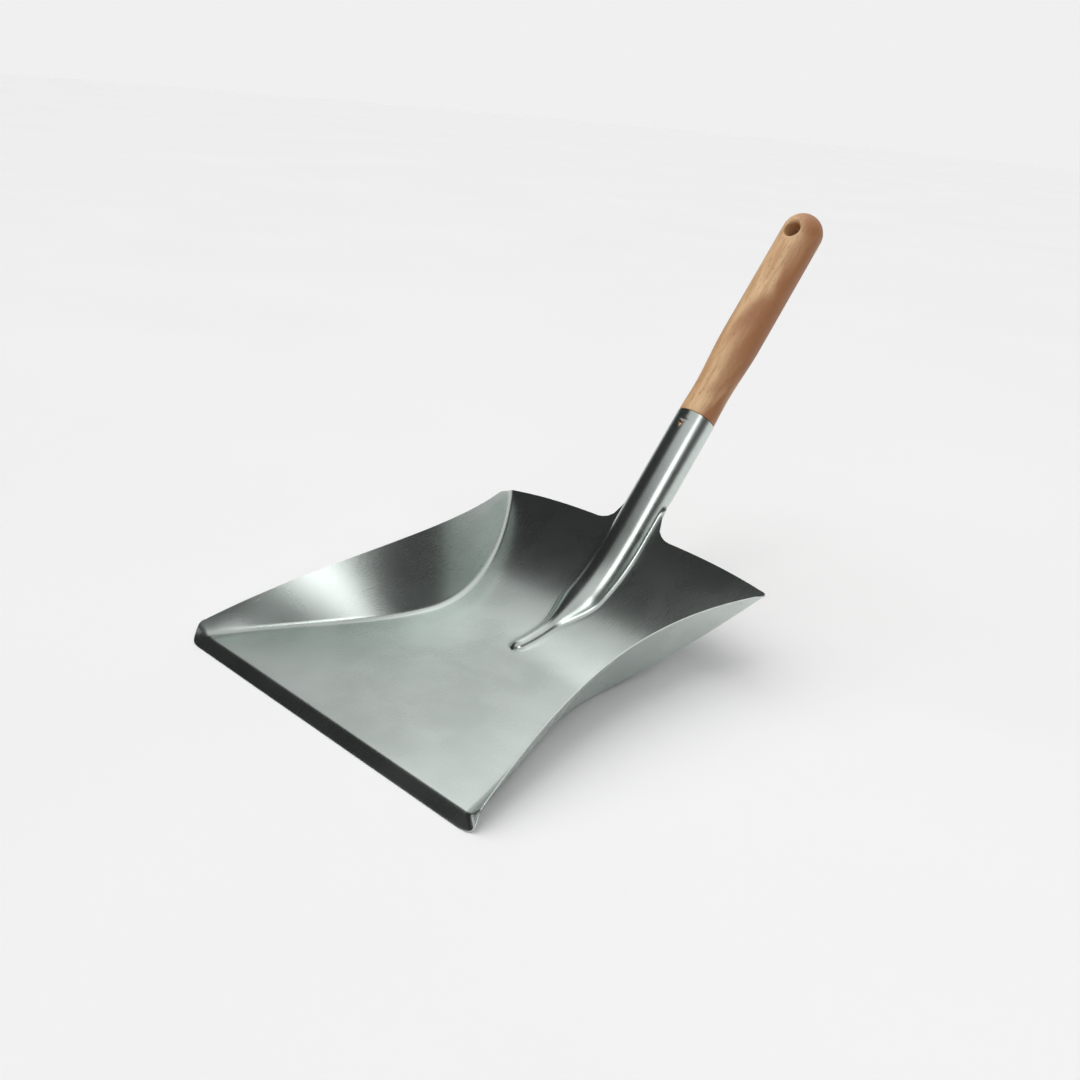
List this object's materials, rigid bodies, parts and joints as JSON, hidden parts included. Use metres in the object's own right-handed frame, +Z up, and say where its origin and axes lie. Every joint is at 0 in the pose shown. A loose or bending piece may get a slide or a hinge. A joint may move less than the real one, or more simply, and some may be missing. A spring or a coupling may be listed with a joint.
{
  "type": "dust pan",
  "caption": "Hand dust pan pressed from one galvanised steel sheet, with flared side walls and a rolled socket that holds a turned wooden handle with a hang hole.",
  "frame": {"origin": "under the middle of the object's box, on the surface that it stands on", "axes": "+Z up, +Y from the front lip towards the handle, +X across the pan"},
  "size_m": [0.2378, 0.408, 0.2491],
  "materials": {
    "galvanised_sheet": "bright galvanised sheet, faintly streaked along the rolling direction",
    "beech": "turned and sanded beech with a thin clear coat"
  },
  "bodies": {
    "root": {"pan": "galvanised_sheet", "handle": "beech"}
  },
  "joints": []
}
